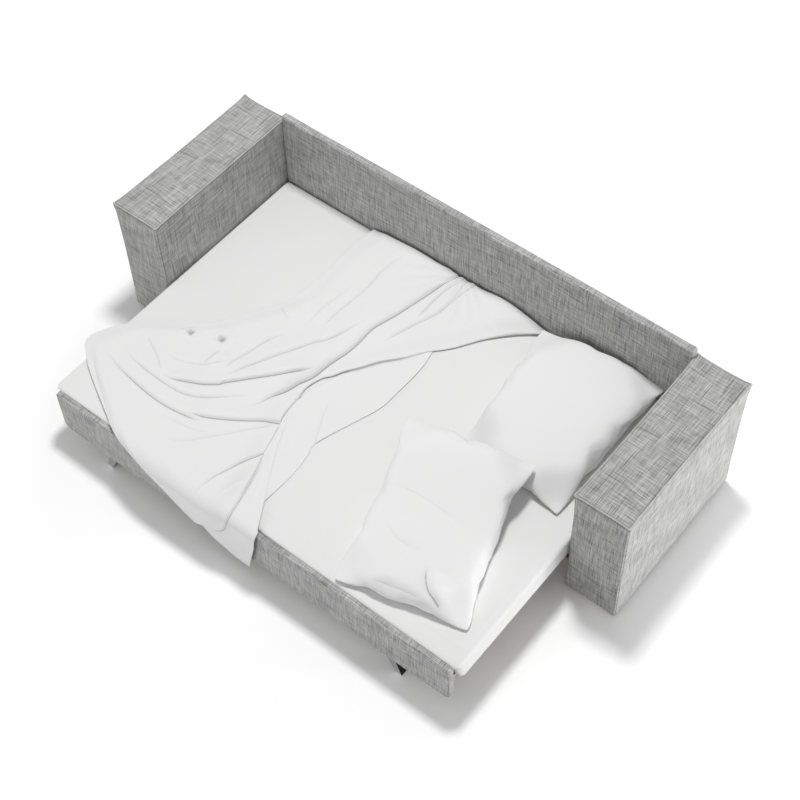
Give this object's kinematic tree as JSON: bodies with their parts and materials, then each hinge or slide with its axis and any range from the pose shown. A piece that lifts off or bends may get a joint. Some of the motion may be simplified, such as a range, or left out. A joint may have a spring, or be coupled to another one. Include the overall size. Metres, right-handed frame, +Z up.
{
  "type": "sofa bed",
  "caption": "Sofa bed pulled out: boxy slip-covered arms and low back, slatted base on a sliding front rail, folding mattress, duvet and pillows.",
  "frame": {"origin": "on the floor, under the middle of the whole outline with the bed pulled out", "axes": "+X to the right seen from the front, +Y from the pulled-out rail to the back panel, +Z up"},
  "size_m": [2.48, 1.5019, 0.682],
  "materials": {
    "grey_fabric": "light grey slubby woven slip cover",
    "sheet_cotton": "white fitted cotton sheet over foam",
    "duvet_cotton": "white matt cotton duvet cover",
    "pillow_cotton": "white matt cotton pillow case",
    "birch_slat": "laminated birch, clear varnish",
    "pine_timber": "planed pine, unfinished",
    "black_nylon": "moulded black nylon",
    "polished_chrome": "polished chrome",
    "grey_tube": "light grey powder coat",
    "zinc_steel": "bright zinc plate"
  },
  "bodies": {
    "sofa_body": {"left_arm_cover": "grey_fabric", "right_arm_cover": "grey_fabric", "left_arm_frame": "pine_timber", "right_arm_frame": "pine_timber", "arm_glides": "black_nylon", "back_panel_cover": "grey_fabric", "back_panel_board": "pine_timber", "back_top_band": "grey_fabric", "rear_slat_beam": "pine_timber", "fixed_slat_beam": "pine_timber", "beam_brackets": "zinc_steel", "bracket_screws": "zinc_steel", "left_channel": "zinc_steel", "right_channel": "zinc_steel", "rear_slat_1": "birch_slat", "rear_slat_2": "birch_slat", "rear_slat_3": "birch_slat", "rear_slat_4": "birch_slat", "rear_slat_5": "birch_slat", "rear_slat_6": "birch_slat", "rear_slat_7": "birch_slat", "rear_slat_8": "birch_slat", "rear_slat_9": "birch_slat", "mattress_rear": "sheet_cotton"},
    "pullout_frame": {"front_rail_cover": "grey_fabric", "front_rail_board": "pine_timber", "left_front_leg": "polished_chrome", "right_front_leg": "polished_chrome", "left_leg_plate": "zinc_steel", "right_leg_plate": "zinc_steel", "leg_screws": "zinc_steel", "left_side_tube": "grey_tube", "right_side_tube": "grey_tube", "front_tube": "grey_tube", "tube_sleeves": "grey_tube", "tube_saddles": "zinc_steel", "moving_slat_beam": "pine_timber", "left_glide_shoe": "black_nylon", "right_glide_shoe": "black_nylon", "front_slat_1": "birch_slat", "front_slat_2": "birch_slat", "front_slat_3": "birch_slat", "front_slat_4": "birch_slat", "front_slat_5": "birch_slat", "front_slat_6": "birch_slat", "front_slat_7": "birch_slat", "front_slat_8": "birch_slat", "front_slat_9": "birch_slat", "front_slat_10": "birch_slat"},
    "mattress_front_half": {"mattress_front": "sheet_cotton"},
    "bedding_rear": {"duvet_rear": "duvet_cotton", "pillow_rear": "pillow_cotton"},
    "bedding_front": {"duvet_front": "duvet_cotton"},
    "top_pillow": {"pillow_front": "pillow_cotton"}
  },
  "joints": [
    {"name": "pullout_slide", "type": "slide", "parent": "sofa_body", "child": "pullout_frame", "axis": [0, 1, 0], "range_m": [0, 0.64]},
    {"name": "mattress_fold", "type": "hinge", "parent": "sofa_body", "child": "mattress_front_half", "pos_m": [0, 0.011, 0.3193], "axis": [-1, 0, 0], "range_deg": [0, 179.6]},
    {"name": "bedding_lift", "type": "slide", "parent": "sofa_body", "child": "bedding_rear", "axis": [0, 0, 1], "range_m": [0, 0.1155], "deforming": ["duvet_rear", "pillow_rear"]},
    {"name": "duvet_gather", "type": "slide", "parent": "bedding_rear", "child": "bedding_front", "axis": [0.1355, 0.9908, 0], "range_m": [0, 0.64595], "deforming": ["duvet_front"]},
    {"name": "pillow_shift", "type": "slide", "parent": "bedding_rear", "child": "top_pillow", "axis": [0, 0.9779, 0.209], "range_m": [0, 0.59821], "deforming": ["pillow_front"]}
  ],
  "couplings": [
    {"joint": "mattress_fold", "follows": "pullout_slide", "rad_per_m": 4.8978},
    {"joint": "bedding_lift", "follows": "pullout_slide", "ratio": 0.18047},
    {"joint": "duvet_gather", "follows": "pullout_slide", "ratio": 1.0093},
    {"joint": "pillow_shift", "follows": "pullout_slide", "ratio": 0.9347}
  ]
}
